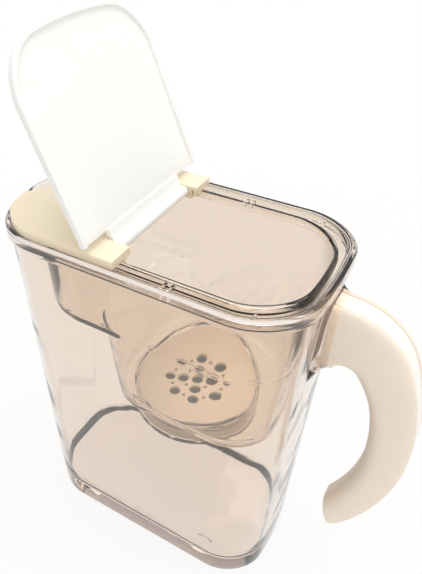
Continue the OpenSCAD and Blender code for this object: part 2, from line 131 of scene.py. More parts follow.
def box(name, low, high):
    """A straight block between two corners."""
    corners = [(x, y, z) for z in (low[2], high[2])
               for x, y in ((low[0], low[1]), (high[0], low[1]), (high[0], high[1]), (low[0], high[1]))]
    return new_piece(name, corners, [(3, 2, 1, 0), (4, 5, 6, 7), (0, 1, 5, 4), (1, 2, 6, 5),
                                     (2, 3, 7, 6), (3, 0, 4, 7)])


def rod(name, centre, radius, low, high, axis="z", sides=96):
    """A round bar between two places along an axis through a centre."""
    turn = np.linspace(0, 2 * math.pi, sides, endpoint=False)
    order = {"z": (0, 1, 2), "y": (1, 2, 0)}[axis]
    rings = []
    for along in (low, high):
        ring = np.stack([np.cos(turn) * radius, np.sin(turn) * radius, np.full(sides, along)], 1)
        ring = ring[:, np.argsort(order)] if axis == "z" else ring[:, [1, 2, 0]]
        rings.append(ring + np.array(centre))
    return loft(name, rings)


def combine(piece, tools, operation="UNION"):
    """Joins tools to a piece, or cuts them out of it, and keeps one mesh."""
    for tool in tools:
        step = piece.modifiers.new("step", "BOOLEAN")
        step.object, step.operation, step.solver = tool, operation, "EXACT"
    bpy.context.view_layer.update()
    made = bpy.data.meshes.new_from_object(piece.evaluated_get(bpy.context.evaluated_depsgraph_get()))
    piece.modifiers.clear()
    piece.data = made
    for tool in tools:
        bpy.data.objects.remove(tool)
    return piece


def carved(piece, tools):
    """Cuts tools out of a piece."""
    return combine(piece, tools, "DIFFERENCE")


bottom_edge = 0.0026
jug_rings = [wall_outline(bottom_edge * (1 - math.sin(t)), bottom_edge * (1 - math.cos(t)))
             for t in np.radians([0, 22, 45, 68, 90])]
jug_rings += [wall_outline(0, z) for z in np.linspace(0.02, 0.2, 10)]
jug_rings += [poured(wall_outline(0, z)) for z in np.linspace(0.206, 0.2312, 9)]
jug_rings += [poured(rim_outline(inset, z)) for inset, z in (
    (0.0016, 0.2319), (0.0008, 0.2324), (0.0002, 0.2331), (0, 0.2338), (0, 0.2365), (0, 0.2388))]
jug_rings += [poured(rim_outline(inset, z)) for inset, z in
              rounding(0.0012, 0.2388, 0.0012, 0, 90) + rounding(rim_face - 0.0006, 0.2394, 0.0006, 90, 180)]
jug_rings += [poured(rim_outline(rim_face, recess_z)), poured(wall_outline(jug_wall - 0.0004, recess_z)),
              poured(wall_outline(jug_wall, recess_z - 0.0004))]
jug_rings += [poured(wall_outline(jug_wall, z)) for z in np.linspace(0.231, 0.206, 8)]
jug_rings += [wall_outline(jug_wall, z) for z in np.linspace(0.2, 0.03, 9)]
jug_rings += [wall_outline(jug_wall + floor_radius * (1 - math.cos(t)),
                           base_thickness + floor_radius * (1 - math.sin(t)))
              for t in np.radians(np.linspace(0, 88, 9))]
jug = loft("jug", jug_rings)

handle_width, root_depth, root_flare, handle_drop, handle_root = 0.0235, 0.028, 0.013, 0.026, 0.0053
inner_edge, outer_edge, outer_fall = 0.009, 0.0045, 0.6
root_x, grip_z = band_x + handle_root, jug_height - handle_drop
collar_x = root_x - 0.0018
root_low = grip_z - root_depth / 2 - root_flare
collar_skin, collar_flare, collar_foot, collar_steps, collar_z = 0.0002, 0.0046, 0.0115, 15, 0.19


def root_ring(x, out, drop):
    """The handle's outline at its root as an upright ring, moved outwards and let down at its foot."""
    half_y, top, foot = handle_width / 2 + out, grip_z + root_depth / 2 + out, root_low - out - drop
    fall = outer_fall * (top - foot)
    turn = np.radians(np.linspace(0, 90, 13))
    lower = np.stack([half_y - inner_edge + inner_edge * np.cos(turn),
                      foot + inner_edge - inner_edge * np.sin(turn)], 1)[::-1]
    upper = np.stack([half_y - outer_edge + outer_edge * np.cos(turn),
                      top - fall + fall * np.sin(turn)], 1)
    ring = np.concatenate([lower, upper, upper[::-1] * (-1, 1), lower[::-1] * (-1, 1)])
    return np.stack([np.full(len(ring), x), ring[:, 0], ring[:, 1]], 1)


collar_rings = []
x_low = wall_half(collar_z) - 0.0014
for t in np.linspace(0, 1, collar_steps):
    flare = (1 - t) ** 1.7
    ring = root_ring(x_low + (collar_x - x_low) * t, collar_skin + collar_flare * flare, collar_foot * flare)
    ring[:, 0] += (wall_half(ring[:, 2]) - wall_half(collar_z)) * (1 - t)
    ring[:, 0] -= 0.0008 * (ring[:, 1] / 0.02) ** 2 * (1 - t)
    collar_rings.append(ring)
collar = loft("collar", collar_rings)
tongue_half_y, tongue_reach = 0.004, 0.0165
tongue = box("tongue", (0.0945, -tongue_half_y, grip_z - 0.0035),
             (root_x + tongue_reach, tongue_half_y, grip_z + 0.0015))
gate_x, gate_z = 0.0532, 0.0355
gate_y = -base_width / 2 - gate_z / jug_height * (band_y - band_step - base_width / 2)
turn = np.linspace(0, 2 * math.pi, 48, endpoint=False)


def oval(reach_x, reach_z, y):
    """An oval ring on the near wall, where the melt went in."""
    return np.stack([gate_x + reach_x * np.cos(turn), np.full(48, gate_y + y),
                     gate_z + reach_z * np.sin(turn)], 1)


gate = loft("gate", [oval(0.0052 * s, 0.0034 * s, y) for s, y in ((0.95, -0.0004), (1, -0.0002), (1, 0.001))])
gate_dip = loft("gate_dip", [oval(0.004, 0.0022, y) for y in (-0.002, 0)])
combine(jug, [collar, tongue, carved(gate, [gate_dip])])
shade(jug)


def tint(hex_colour):
    """An sRGB hex colour as the linear colour that a socket takes."""
    channels = [int(hex_colour[i:i + 2], 16) / 255 for i in (1, 3, 5)]
    return (*(c / 12.92 if c <= 0.04045 else ((c + 0.055) / 1.055) ** 2.4 for c in channels), 1)


def add(tree, kind, links=(), **settings):
    """Adds a node, sets its properties and its sockets, and links sockets to others' outputs."""
    node = tree.nodes.new("ShaderNode" + kind)
    for key, value in settings.items():
        if hasattr(node, key):
            setattr(node, key, value)
        else:
            node.inputs[key.replace("_", " ")].default_value = value
    for socket, source in dict(links).items():
        tree.links.new(source, node.inputs[socket])
    return node


def material(name):
    """An empty node material and its tree, with the place that a noise or pattern starts from."""
    made = bpy.data.materials.new(name)
    made.use_nodes = True
    tree = made.node_tree
    tree.nodes.clear()
    return made, tree, add(tree, "TexCoord").outputs["Object"]


def close(tree, surface, volume=None):
    """The material's output."""
    links = {"Surface": surface} | ({"Volume": volume} if volume else {})
    add(tree, "OutputMaterial", links)


def dress(piece, finish):
    """Gives a piece one material all over."""
    piece.data.materials.clear()
    piece.data.materials.append(finish)


# SAN is a clear, glassy styrene: hard bright highlights, a faint warm cast through one wall and
# violet-grey where the eye looks along it. Long flow waves and a little handling haze keep the
# moulded wall from looking like flat glass.
def clear_plastic(name, cast, depth_colour, density, haze):
    made, tree, place = material(name)
    flow = add(tree, "TexNoise", {"Vector": place}, Scale=1 / 0.03, Detail=1.0, Roughness=0.4)
    rubs = add(tree, "TexNoise", {"Vector": place}, Scale=1 / 0.004, Detail=4.0, Roughness=0.65)
    rough = add(tree, "MapRange", {"Value": rubs.outputs["Fac"]}, From_Min=0.45, From_Max=0.75,
                To_Min=haze, To_Max=haze * 3.5)
    waves = add(tree, "Bump", {"Height": flow.outputs["Fac"]}, Strength=0.35, Distance=0.0012)
    body = add(tree, "BsdfPrincipled",
               {"Roughness": rough.outputs["Result"], "Normal": waves.outputs["Normal"]},
               Base_Color=tint(cast), Transmission_Weight=1.0, IOR=1.5)
    lamps = add(tree, "BsdfTransparent", Color=tint(cast))
    ray = add(tree, "LightPath")
    both = add(tree, "MixShader", {"Fac": ray.outputs["Is Shadow Ray"], 1: body.outputs["BSDF"],
                                   2: lamps.outputs["BSDF"]})
    inside = add(tree, "VolumeAbsorption", Color=tint(depth_colour), Density=density)
    close(tree, both.outputs["Shader"], inside.outputs["Volume"])
    return made


jug_plastic = clear_plastic("SAN_clear_moulded", "#F8F0E8", "#D4C8C2", 25.0, 0.02)
dress(jug, jug_plastic)
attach(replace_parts(jug, "jug_body"), "jug")

# Handle screws: two pan head steel screws that hold the shell to the jug's tongue from below
# the strip, zinc plated.
# Zinc plating on steel: a bright metal that the fine grain of the plating dulls unevenly.
steel, tree, place = material("zinc_plated_steel")
grain = add(tree, "TexNoise", {"Vector": place}, Scale=1 / 0.0006, Detail=3.0)
dull = add(tree, "MapRange", {"Value": grain.outputs["Fac"]}, To_Min=0.25, To_Max=0.45)
plated = add(tree, "BsdfPrincipled", {"Roughness": dull.outputs["Result"]}, Base_Color=tint("#C9CACC"),
             Metallic=1.0)
close(tree, plated.outputs["BSDF"])
dress(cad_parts["handle_screws"], steel)

# Handle shell: one thick curved arm in white polypropylene with a matt spark finish, hollow
# above for the tongue and open along its outer side for the strip. Its free end is cut steeply.
upper_bend, bend_angle, long_bend, tip_angle, tip_depth = 0.0284, 25.4, 0.135, 37.0, 0.018
strip_width, strip_thickness, flare_length, root_sunk = 0.012, 0.0028, 0.066, 0.0045
upper_centre = np.array([root_x, 0, grip_z - upper_bend])
long_centre = upper_centre - (long_bend - upper_bend) * np.array(
    [math.cos(math.radians(bend_angle)), 0, math.sin(math.radians(bend_angle))])
strip_end, cut_angle, cut_lean = tip_angle - 9, math.radians(tip_angle - 8), math.radians(22)


def handle_line(start, last, steps):
    """Places along the handle's middle line with the angle of the outward direction."""
    places = [(np.array([start, 0, grip_z]), 90.0)]
    for centre, radius, angles in ((upper_centre, upper_bend, np.linspace(90, bend_angle, 18)),
                                   (long_centre, long_bend, np.linspace(bend_angle, -last, steps)[1:])):
        for angle in angles:
            a = math.radians(angle)
            places.append((centre + radius * np.array([math.cos(a), 0, math.sin(a)]), angle))
    return places


def travelled(angle):
    """How far along the middle line a place with this angle lies."""
    return (math.radians(min(90 - angle, 90 - bend_angle)) * upper_bend
            + math.radians(max(bend_angle - angle, 0)) * long_bend)


def top_at(angle):
    """From the middle line to the handle's outer side."""
    return (root_depth + (tip_depth - root_depth) * travelled(angle) / travelled(-tip_angle)) / 2


def low_at(angle):
    """From the middle line to the handle's inner side, deeper at the root."""
    return top_at(angle) + root_flare * max(0, 1 - travelled(angle) / flare_length) ** 2


def along(name, line, sections):
    """Carries a cross-section, [inwards to outwards, across], along a line."""
    rings = []
    for (place, angle), section in zip(line, sections):
        a = math.radians(angle)
        outwards = np.array([math.cos(a), 0, math.sin(a)])
        rings.append(place + section[:, :1] * outwards - section[:, 1:] * np.array([0, 1, 0]))
    return loft(name, rings)


def quarter(x, y, reach_x, reach_y, start, steps):
    turn = np.radians(np.linspace(start, start + 90, steps + 1))
    return np.stack([x + reach_x * np.cos(turn), y + reach_y * np.sin(turn)], 1)


def both_sides(half):
    """A cross-section from its half on one side."""
    return np.concatenate([half, half[::-1] * (1, -1)])


def grip_section(angle, open_top):
    t, low, w = top_at(angle), low_at(angle), handle_width / 2
    slot_half, slot_floor = strip_width / 2, t - strip_thickness - 0.0001
    slot = np.array([(slot_floor, 0.0005), (slot_floor, slot_half), (t - 0.0011, slot_half),
                     (t - 0.0006, slot_half + 0.0001), (t - 0.0002, slot_half + 0.0004),
                     (t, slot_half + 0.0009)])
    if not open_top:
        slot[:, 0] = t
    fall = min(outer_fall * (t + low), t + low - inner_edge - 0.0004)
    return both_sides(np.concatenate([
        slot, quarter(t - fall, w - outer_edge, fall, outer_edge, 0, 12),
        quarter(inner_edge - low, w - inner_edge, inner_edge, inner_edge, 90, 12)]))


line = handle_line(collar_x - root_sunk, tip_angle, 64)
open_count = sum(1 for place, angle in line if angle > -strip_end)
line.insert(open_count, line[open_count - 1])
sections = [grip_section(angle, k < open_count) for k, (place, angle) in enumerate(line)]
late = np.linspace(0, 1, 7)[1:]
for k, s in enumerate(late):
    sections[len(line) - 6 + k] = sections[len(line) - 6 + k] * math.sqrt(1 - 0.75 * s ** 2)
grip = along("handle_shell", line, sections)
cut_from = long_centre + (long_bend - low_at(-math.degrees(cut_angle))) * np.array(
    [math.cos(cut_angle), 0, -math.sin(cut_angle)])
shell = bmesh.new()
shell.from_mesh(grip.data)
low_part = [v for v in shell.verts if v.co.z < cut_from[2] + 0.02]
geometry = (low_part + list({e for v in low_part for e in v.link_edges})
            + list({f for v in low_part for f in v.link_faces}))
made = bmesh.ops.bisect_plane(shell, geom=geometry, plane_co=cut_from,
                              plane_no=(-math.cos(cut_lean), 0, -math.sin(cut_lean)), clear_outer=True)
rim_edges = [e for e in made["geom_cut"] if isinstance(e, bmesh.types.BMEdge)]
bmesh.ops.edgeloop_fill(shell, edges=rim_edges)
bmesh.ops.bevel(shell, geom=rim_edges, offset=0.0016, segments=4, profile=0.5, affect="EDGES",
                clamp_overlap=True)
shell.to_mesh(grip.data)
shell.free()
shade(grip)


def spark_plastic(name, colour, shade_colour, grain_size, rough, bump):
    """Moulded plastic with a spark-eroded grain, a slight colour drift and worn, smoother edges."""
    made, tree, place = material(name)
    drift = add(tree, "TexNoise", {"Vector": place}, Scale=1 / 0.045, Detail=2.0)
    paint = add(tree, "Mix", data_type="RGBA")
    tree.links.new(drift.outputs["Fac"], paint.inputs["Factor"])
    paint.inputs["A"].default_value, paint.inputs["B"].default_value = tint(colour), tint(shade_colour)
    grain = add(tree, "TexNoise", {"Vector": place}, Scale=1 / grain_size, Detail=3.0, Roughness=0.6)
    dents = add(tree, "Bump", {"Height": grain.outputs["Fac"]}, Strength=bump, Distance=0.0002)
    wear = add(tree, "NewGeometry")
    polish = add(tree, "MapRange", {"Value": wear.outputs["Pointiness"]}, From_Min=0.48, From_Max=0.56,
                 To_Min=rough, To_Max=rough * 0.7)
    body = add(tree, "BsdfPrincipled", {
        "Base Color": paint.outputs["Result"], "Roughness": polish.outputs["Result"],
        "Normal": dents.outputs["Normal"]}, IOR=1.49)
    close(tree, body.outputs["BSDF"])
    return made


# Polypropylene from a spark-eroded mould: a warm white that spreads its highlights wide.
soft_white = spark_plastic("polypropylene_matt_white", "#F8ECDC", "#F2E4D2", 0.0009, 0.5, 0.25)
dress(grip, soft_white)
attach(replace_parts(grip, "handle_grip"), "jug")

# Handle strip: a glossy white ABS strip pressed into the shell's slot, which closes the hollow
# and hides the screws.


def strip_section(angle):
    t, w = top_at(angle), strip_width / 2
    return both_sides(np.array([
        (t - strip_thickness, 0.0005), (t - strip_thickness, w - 0.0003), (t - 0.0013, w - 0.0002),
        (t - 0.0008, w - 0.0004), (t - 0.0004, w - 0.0008), (t - 0.0001, w - 0.0018), (t, 0.002)]))


strip_line = handle_line(collar_x - root_sunk, strip_end - 0.25, 52)
strip = along("handle_strip", strip_line, [strip_section(angle) for place, angle in strip_line])
shade(strip)
# ABS from a polished mould: bright, sharp highlights that ripple a little where the wall sank.
gloss_white, tree, place = material("ABS_gloss_white")
specks = add(tree, "TexNoise", {"Vector": place}, Scale=1 / 0.012, Detail=3.0)
sheen = add(tree, "MapRange", {"Value": specks.outputs["Fac"]}, To_Min=0.1, To_Max=0.2)
ripple = add(tree, "Bump", {"Height": specks.outputs["Fac"]}, Strength=0.08, Distance=0.0004)
body = add(tree, "BsdfPrincipled", {"Roughness": sheen.outputs["Result"], "Normal": ripple.outputs["Normal"]},
           Base_Color=tint("#FBF7EF"), IOR=1.54)
close(tree, body.outputs["BSDF"])
dress(strip, gloss_white)
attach(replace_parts(strip, "handle_cover"), "jug")

# Reservoir: the clear SAN insert that hangs in the jug's rim by its flange, moulded in one shot. It
# has a deep well under the lid, a shelf towards the spout and a round socket for the filter.
mouth_side_inset, mouth_handle_inset, mouth_spout_inset, mouth_corner = 0.013, 0.010, 0.021, 0.026
well_depth, shelf_depth, well_draft, bowl_wall = 0.106, 0.050, 0.0012, 0.0022
well_z, shelf_z = jug_height - well_depth, jug_height - shelf_depth
flange_inset, flange_z = rim_face + 0.0003, recess_z + 0.00015
channel_z, flange_lip = flange_z + 0.002, 0.0016
mouth_y, mouth_right = band_y - mouth_side_inset, band_x - mouth_handle_inset
mouth_left = mouth_spout_inset - band_x
filter_x, filter_radius, filter_height = 0.020, 0.038, 0.014
well_right, well_left = mouth_right - 0.008, filter_x - filter_radius - 0.006
cup_radius, filter_top = filter_radius + 0.0006, well_z - 0.002
filter_bottom = filter_top - filter_height
cup_floor_z = filter_bottom - 0.00015


def mouth_outline(inset, z):
    return outline(mouth_left + inset, mouth_right - inset, mouth_y - inset, mouth_corner - inset, z)


def bowl_rings(out):
    """The bowl's rings from its floor to the shelf, moved outwards."""
    drop = bowl_wall if out else 0
    well_y, well_corner, edge_z = mouth_y - well_draft, mouth_corner - 0.004, well_z + 0.0045
    places = [(well_left + inset, well_right - inset, well_y - inset, well_corner - inset, well_z + dz)
              for inset, dz in ((0.004, 0), (0.0024, 0.0003), (0.001, 0.0012), (0.0003, 0.0026), (0, 0.0045))]
    for s in np.linspace(0, 1, 7)[1:]:
        places.append((well_left - 0.008 * s, well_right + 0.004 * s, well_y + 0.0007 * s,
                       well_corner + 0.002 * s, edge_z + (shelf_z - 0.004 - edge_z) * s))
    for left, dz in ((0.0095, -0.0022), (0.013, -0.0008), (0.02, -0.0003)):
        places.append((well_left - left, well_right + 0.0042, mouth_y - 0.00045, mouth_corner - 0.0015,
                       shelf_z + dz))
    for left, out_x, dz in ((0.008, 0.0043, -0.0001), (0.0052, 0.0044, 0.0006), (0.0041, 0.0046, 0.003)):
        places.append((mouth_left + left, well_right + out_x, mouth_y - 0.0004, mouth_corner - 0.001,
                       shelf_z + dz))
    return [outline(left - out, right + out, half + out, corner + out, z - drop)
            for left, right, half, corner, z in places]


reservoir_rings = bowl_rings(bowl_wall)
reservoir_rings += [mouth_outline(-bowl_wall, flange_z), rim_outline(flange_inset + 0.0004, flange_z),
                    rim_outline(flange_inset, flange_z + 0.0004),
                    rim_outline(flange_inset, jug_height - 0.0006)]
reservoir_rings += [rim_outline(inset, z) for inset, z in
                    rounding(flange_inset + 0.0006, jug_height - 0.0006, 0.0006, 0, 90, 3)
                    + rounding(flange_inset + flange_lip - 0.0006, jug_height - 0.0006, 0.0006, 90, 180, 3)]
reservoir_rings += [rim_outline(flange_inset + flange_lip, channel_z + 0.0003),
                    rim_outline(flange_inset + flange_lip + 0.0003, channel_z),
                    mouth_outline(-bowl_wall - 0.0003, channel_z),
                    mouth_outline(-bowl_wall, channel_z + 0.0003)]
reservoir_rings += [mouth_outline(-inset, z) for inset, z in (
    (bowl_wall, jug_height - 0.0012), (bowl_wall - 0.0003, jug_height - 0.0004),
    (bowl_wall - 0.0008, jug_height), (0.0006, jug_height), (0.0002, jug_height - 0.0004),
    (0, jug_height - 0.0012))]
reservoir_rings += bowl_rings(0)[::-1]
reservoir = loft("reservoir", reservoir_rings)
carved(reservoir, [rod("well_hole", (filter_x, 0, 0), cup_radius + 0.0003, well_z - 0.006, well_z + 0.006),
                   box("pour_slot", (-band_x - 0.01, -0.020, flange_z - 0.001),
                       (mouth_left - bowl_wall - 0.002, 0.020, flange_z + 0.008))])


def ring_stack(name, centre, profile, sides=128):
    """A turned ring from a closed profile of (radius, height)."""
    turn = np.linspace(0, 2 * math.pi, sides, endpoint=False)
    count = len(profile)
    points = [(centre[0] + r * math.cos(a), centre[1] + r * math.sin(a), z)
              for r, z in profile for a in turn]
    faces = [(k * sides + i, k * sides + (i + 1) % sides, (k + 1) % count * sides + (i + 1) % sides,
              (k + 1) % count * sides + i) for k in range(count) for i in range(sides)]
    return new_piece(name, points, faces)


def turned(name, centre, profile, sides=128):
    """A turned solid from an open profile of (radius, height), up the outside and closed by discs."""
    turn = np.linspace(0, 2 * math.pi, sides, endpoint=False)
    return loft(name, [np.stack([centre[0] + r * np.cos(turn), centre[1] + r * np.sin(turn),
                                 np.full(sides, z)], 1) for r, z in profile])


socket_low, socket_top = cup_floor_z - bowl_wall, well_z + 0.0012
socket = turned("socket", (filter_x, 0), [
    (cup_radius + bowl_wall - 0.0008, socket_low), (cup_radius + bowl_wall, socket_low + 0.0008),
    (cup_radius + bowl_wall, socket_top - 0.0006), (cup_radius + bowl_wall - 0.0006, socket_top),
    (cup_radius + 0.0004, socket_top), (cup_radius, socket_top - 0.0004), (cup_radius, cup_floor_z + 0.0005),
    (cup_radius - 0.0005, cup_floor_z)])
drain_circle = 0.7 * filter_radius
drains = [rod("drain", (filter_x + drain_circle * math.cos(a), drain_circle * math.sin(a), 0), 0.003,
              socket_low - 0.001, cup_floor_z + 0.001, sides=24) for a in np.radians(np.arange(0, 360, 30))]
drains.append(rod("drain", (filter_x, 0, 0), 0.006, socket_low - 0.001, cup_floor_z + 0.001, sides=32))
carved(socket, drains)
ribs = []
channel_out = band_y - flange_inset - flange_lip
for x in (0.022, 0.026, 0.069):
    for side in (-1, 1):
        reach = channel_out + 0.0003 if x < 0.06 else channel_out - 0.0006
        low, high = sorted((side * (mouth_y + bowl_wall - 0.0003), side * reach))
        ribs.append(box("rib", (x - 0.0006, low, channel_z - 0.0003), (x + 0.0006, high, channel_z + 0.0024)))
combine(reservoir, [socket] + ribs)
shade(reservoir)
# The same clear SAN, rubbed a little more by handling.
reservoir_plastic = clear_plastic("SAN_clear_insert", "#F9F2E9", "#D0C6C0", 22.0, 0.025)
dress(reservoir, reservoir_plastic)
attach(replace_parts(reservoir, "reservoir"), "reservoir")

# Filter cartridge: a round polypropylene cup, milky and see-through, welded shut by a white cap
# with a star of holes. Inside lie three cloths with the resin and the carbon between them.
cap_thickness, large_hole, small_hole, pitch, hole_turn = 0.0024, 0.0035, 0.0011, 0.0088, 20
cap_z = filter_top - cap_thickness


def circles_plate(name, low, high, rounds, bevel, z_sides=96):
    """A flat plate from circles (x, y, radius): the first is its edge and the others are holes."""
    flat = bpy.data.curves.new(name, "CURVE")
    flat.dimensions, flat.fill_mode = "2D", "BOTH"
    flat.extrude, flat.bevel_depth, flat.bevel_resolution = (high - low) / 2 - bevel, bevel, 2
    for k, (x, y, radius) in enumerate(rounds):
        inner = radius - bevel if k == 0 else radius + bevel
        sides = z_sides if k == 0 else 32
        spline = flat.splines.new("POLY")
        spline.points.add(sides - 1)
        for i, a in enumerate(np.linspace(0, 2 * math.pi, sides, endpoint=False)):
            spline.points[i].co = (x + inner * math.cos(a), y + inner * math.sin(a), 0, 1)
        spline.use_cyclic_u = True
    carrier = bpy.data.objects.new(name + "_curve", flat)
    bpy.context.scene.collection.objects.link(carrier)
    bpy.context.view_layer.update()
    mesh = bpy.data.meshes.new_from_object(carrier.evaluated_get(bpy.context.evaluated_depsgraph_get()))
    bpy.data.objects.remove(carrier)
    mesh.transform(Matrix.Translation((0, 0, (low + high) / 2)))
    plate = bpy.data.objects.new(name, mesh)
    bpy.context.scene.collection.objects.link(plate)
    return plate


def star(radius, angles):
    """Places at these angles round the cap's middle."""
    return [(filter_x + radius * math.cos(a), radius * math.sin(a))
            for a in np.radians(np.add(angles, hole_turn))]


large = [(filter_x, 0)] + star(pitch, [0, 90, 180, 270]) + star(2 * pitch, np.arange(0, 360, 45))
small = star(0.93 * pitch, [45, 135, 225, 315]) + star(1.84 * pitch, np.arange(22.5, 360, 45))
cap = circles_plate("filter_cap_plate", cap_z, filter_top, [(filter_x, 0, filter_radius)]
                    + [(*p, large_hole) for p in large] + [(*p, small_hole) for p in small], 0.0003, 160)
shade(cap)
# Polypropylene with a fine grain: an off-white, half matt disc that shows the dark of its holes.
filter_white = spark_plastic("polypropylene_filter_white", "#F2E8DA", "#ECE0D0", 0.0012, 0.42, 0.15)
dress(cap, filter_white)
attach(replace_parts(cap, "filter_cap"), "cartridge")

cup_wall, cup_top = 0.0018, cap_z - 0.0001
cup = turned("filter_cup_shell", (filter_x, 0), [
    (filter_radius - 0.001, filter_bottom), (filter_radius - 0.0002, filter_bottom + 0.0004),
    (filter_radius, filter_bottom + 0.0012), (filter_radius, cup_top), (filter_radius - cup_wall, cup_top),
    (filter_radius - cup_wall, filter_bottom + 0.0018)])
seal_z, seal_section, groove_section = cap_z - 0.003, 0.001, 0.00102
seal_radius = cup_radius - 0.00015 - seal_section
groove = ring_stack("groove", (filter_x, 0), [
    (seal_radius + groove_section * math.cos(a), seal_z + groove_section * math.sin(a))
    for a in np.radians(np.arange(0, 360, 30))])
carved(cup, [groove])
shade(cup)
# Unpigmented polypropylene, moulded thin: cloudy, and it lets the filling's colour through.
milky, tree, place = material("polypropylene_milky")
clouds = add(tree, "TexNoise", {"Vector": place}, Scale=1 / 0.008, Detail=2.0)
fog = add(tree, "MapRange", {"Value": clouds.outputs["Fac"]}, To_Min=0.35, To_Max=0.55)
body = add(tree, "BsdfPrincipled", {"Roughness": fog.outputs["Result"]}, Base_Color=tint("#EEEAE2"),
           Transmission_Weight=0.35, IOR=1.49)
close(tree, body.outputs["BSDF"])
dress(cup, milky)
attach(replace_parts(cup, "filter_cup"), "cartridge")

# Filter filling: a silicone seal ring, needled polyester cloths, amber resin beads below and
# black carbon grains above, which show as the dark of the cap's holes.
# Silicone, moulded and dusted: a soft grey without a clear highlight.
rubber, tree, place = material("silicone_grey")
dust = add(tree, "TexNoise", {"Vector": place}, Scale=1 / 0.0015, Detail=2.0)
matt = add(tree, "MapRange", {"Value": dust.outputs["Fac"]}, To_Min=0.55, To_Max=0.75)
body = add(tree, "BsdfPrincipled", {"Roughness": matt.outputs["Result"]}, Base_Color=tint("#6E6E70"),
           IOR=1.43)
close(tree, body.outputs["BSDF"])
dress(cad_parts["filter_seal"], rubber)


def loose_filling(name, dark, light, size, rough, depth):
    """Grains, beads or fibres of one size, as cells with a colour of their own and a bump."""
    made, tree, place = material(name)
    cells = add(tree, "TexVoronoi", {"Vector": place}, Scale=1 / size)
    mix = add(tree, "Mix", data_type="RGBA")
    tree.links.new(cells.outputs["Color"], mix.inputs["Factor"])
    mix.inputs["A"].default_value, mix.inputs["B"].default_value = tint(dark), tint(light)
    lumps = add(tree, "Bump", {"Height": cells.outputs["Distance"]}, Strength=0.8, Distance=depth)
    lumps.invert = True
    body = add(tree, "BsdfPrincipled",
               {"Base Color": mix.outputs["Result"], "Normal": lumps.outputs["Normal"]}, Roughness=rough)
    close(tree, body.outputs["BSDF"])
    return made


# Grain, bead and fibre sizes are real: 0.8 mm carbon, 0.7 mm resin, and tufts of 0.4 mm for fibres
# that are too fine to show.
carbon = loose_filling("carbon_grains_black", "#17130E", "#3A322A", 0.0008, 0.6, 0.0004)
resin = loose_filling("resin_beads_amber", "#A5702F", "#D9A55B", 0.0007, 0.3, 0.0004)
cloth = loose_filling("polyester_cloth_needled", "#0E0B07", "#1F1A13", 0.0004, 0.9, 0.0001)
pale_cloth = loose_filling("polyester_cloth_white", "#DAD5CA", "#F1EEE7", 0.0004, 0.9, 0.0001)
for node, finish in (("carbon_bed", carbon), ("resin_bed", resin), ("upper_cloth", cloth),
                     ("middle_cloth", pale_cloth), ("lower_cloth", pale_cloth)):
    dress(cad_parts[node], finish)

# Front cover: the cream ABS cover over the spout half. It drops into the reservoir's mouth by
# a skirt, is scalloped over the spout, and carries the lid between two ears.
cover_z, cover_top, cover_sheet, cover_wall = jug_height + 0.00015, jug_height + 0.005, 0.0022, 0.002
hinge_x, hinge_z = -0.014, jug_height + 0.0012
shoulder_reach, tongue_half = 0.010, 0.035
cover_end, cover_inset, cover_edge = hinge_x + shoulder_reach - 0.0012, flange_inset, 0.0011
skirt_z, mouth_clearance = jug_height - 0.0028, 0.0007
notch_left, notch_half = hinge_x - 0.0059, tongue_half + 0.0006
ear_outer, ear_reach, pin_radius = mouth_y - mouth_clearance, 0.0055, 0.0024
cover = loft("front_cover_shell", [rim_outline(inset, z) for inset, z in
                                   [(cover_inset + 0.0003, cover_z), (cover_inset, cover_z + 0.0003)]
                                   + rounding(cover_inset + cover_edge, cover_top - cover_edge, cover_edge,
                                              0, 90, 5)])
hollow = loft("hollow", [rim_outline(cover_inset + cover_wall, cover_z - 0.002),
                         rim_outline(cover_inset + cover_wall, cover_top - cover_sheet)])
carved(hollow, [box("end_wall", (cover_end - cover_wall, -0.1, 0.2), (0.2, 0.1, 0.3))])
carved(cover, [hollow])
skirt = loft("skirt", [mouth_outline(mouth_clearance, skirt_z),
                       mouth_outline(mouth_clearance, cover_top - cover_sheet + 0.0003)])
carved(skirt, [loft("inside", [mouth_outline(mouth_clearance + 0.0022, skirt_z - 0.002),
                               mouth_outline(mouth_clearance + 0.0022, cover_top + 0.002)])])
ears = [box("ear", (hinge_x - ear_reach, min(side * (notch_half - 0.001), side * ear_outer), skirt_z),
            (hinge_x + ear_reach, max(side * (notch_half - 0.001), side * ear_outer), cover_top - 0.001))
        for side in (-1, 1)]
combine(cover, [skirt] + ears)
carved(cover, [box("end_cut", (cover_end, -0.1, 0.2), (0.2, 0.1, 0.3)),
               box("notch", (notch_left, -notch_half, 0.2), (0.05, notch_half, 0.3)),
               rod("scallop", (0.013 - 0.025 - band_x, 0, 0), 0.025, 0.2, 0.3, sides=160),
               rod("bore", (hinge_x, 0, hinge_z), pin_radius + 0.0001, -ear_outer - 0.003, ear_outer + 0.003,
                   axis="y", sides=48)])


def soften(piece, width, segments):
    """Rounds the sharp edges of a piece."""
    step = piece.modifiers.new("soften", "BEVEL")
    step.width, step.segments = width, segments
    step.limit_method, step.angle_limit = "ANGLE", math.radians(50)
    combine(piece, [])


soften(cover, 0.0008, 3)
shade(cover)
# ABS with a satin spark finish: a cream that shows soft, broad highlights.
cream = spark_plastic("ABS_cream_satin", "#FBEED2", "#F9E8C9", 0.0011, 0.34, 0.12)
dress(cover, cream)
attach(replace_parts(cover, "front_cover"), "cover")

